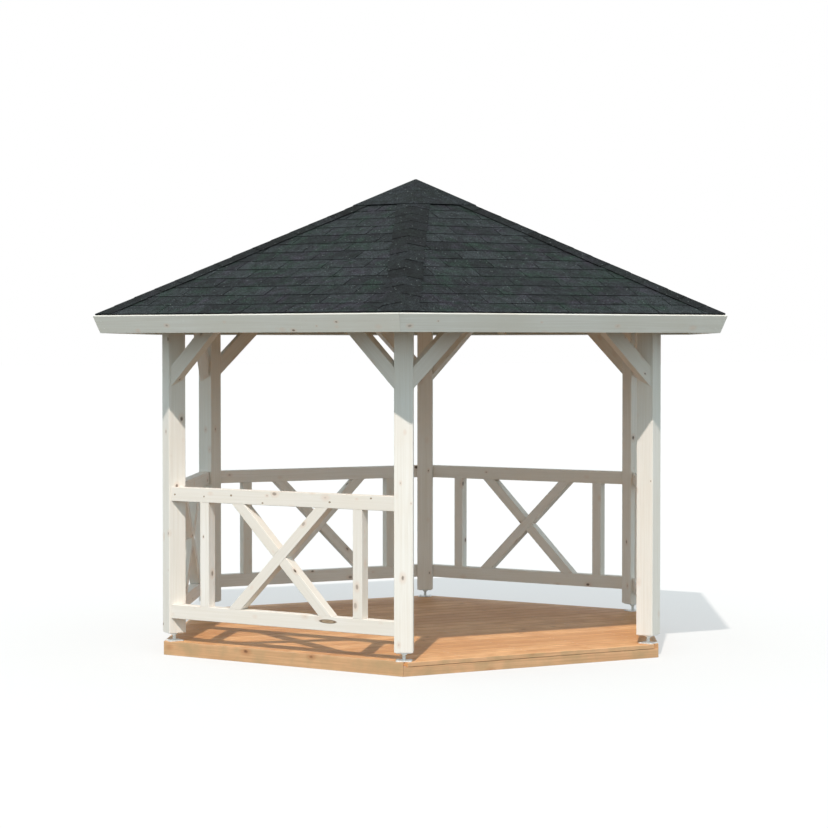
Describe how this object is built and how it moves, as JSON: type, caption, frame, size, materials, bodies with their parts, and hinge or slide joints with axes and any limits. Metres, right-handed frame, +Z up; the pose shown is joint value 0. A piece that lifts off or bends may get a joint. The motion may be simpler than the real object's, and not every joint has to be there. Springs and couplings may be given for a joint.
{
  "type": "garden gazebo",
  "caption": "Open hexagonal timber garden gazebo: posts on steel feet, railings with crossed infill, knee braces, a shingled pyramid roof and a plank deck, with an open entrance bay.",
  "frame": {"origin": "on the ground, under the middle of the deck", "axes": "+Z up, the open entrance bay faces -Y, two posts stand on the X axis"},
  "size_m": [4.7174, 4.0856, 3.1929],
  "materials": {
    "post_wood": "whitewashed glued-laminated spruce, planed",
    "railing_wood": "whitewashed spruce, planed",
    "brace_wood": "whitewashed spruce, planed",
    "roof_frame_wood": "spruce, planed",
    "roof_board_wood": "spruce tongue-and-groove boards",
    "fascia_wood": "whitewashed spruce, planed",
    "bitumen_shingle": "mineral-granule bitumen shingle, dark green-grey",
    "deck_wood": "oiled softwood decking, orange-brown",
    "deck_frame_wood": "impregnated softwood",
    "galvanised_steel": "hot-dip galvanised"
  },
  "bodies": {
    "root": {"post_east": "post_wood", "post_northeast": "post_wood", "post_northwest": "post_wood", "post_west": "post_wood", "post_southwest": "post_wood", "post_southeast": "post_wood", "post_feet": "galvanised_steel", "railing_southeast": "railing_wood", "railing_northeast": "railing_wood", "railing_north": "railing_wood", "railing_northwest": "railing_wood", "railing_southwest": "railing_wood", "braces_east": "brace_wood", "braces_northeast": "brace_wood", "braces_northwest": "brace_wood", "braces_west": "brace_wood", "braces_southwest": "brace_wood", "braces_southeast": "brace_wood", "ring_beams": "roof_frame_wood", "hip_rafters": "roof_frame_wood", "jack_rafters": "roof_frame_wood", "key_block": "roof_frame_wood", "fascia_southeast": "fascia_wood", "fascia_northeast": "fascia_wood", "fascia_north": "fascia_wood", "fascia_northwest": "fascia_wood", "fascia_southwest": "fascia_wood", "fascia_south": "fascia_wood", "roof_boards_southeast": "roof_board_wood", "roof_boards_northeast": "roof_board_wood", "roof_boards_north": "roof_board_wood", "roof_boards_northwest": "roof_board_wood", "roof_boards_southwest": "roof_board_wood", "roof_boards_south": "roof_board_wood", "shingles_southeast": "bitumen_shingle", "shingles_northeast": "bitumen_shingle", "shingles_north": "bitumen_shingle", "shingles_northwest": "bitumen_shingle", "shingles_southwest": "bitumen_shingle", "shingles_south": "bitumen_shingle", "hip_caps": "bitumen_shingle", "apex_cap": "bitumen_shingle", "deck_boards": "deck_wood", "deck_joists": "deck_frame_wood", "deck_trims": "deck_wood"}
  },
  "joints": []
}
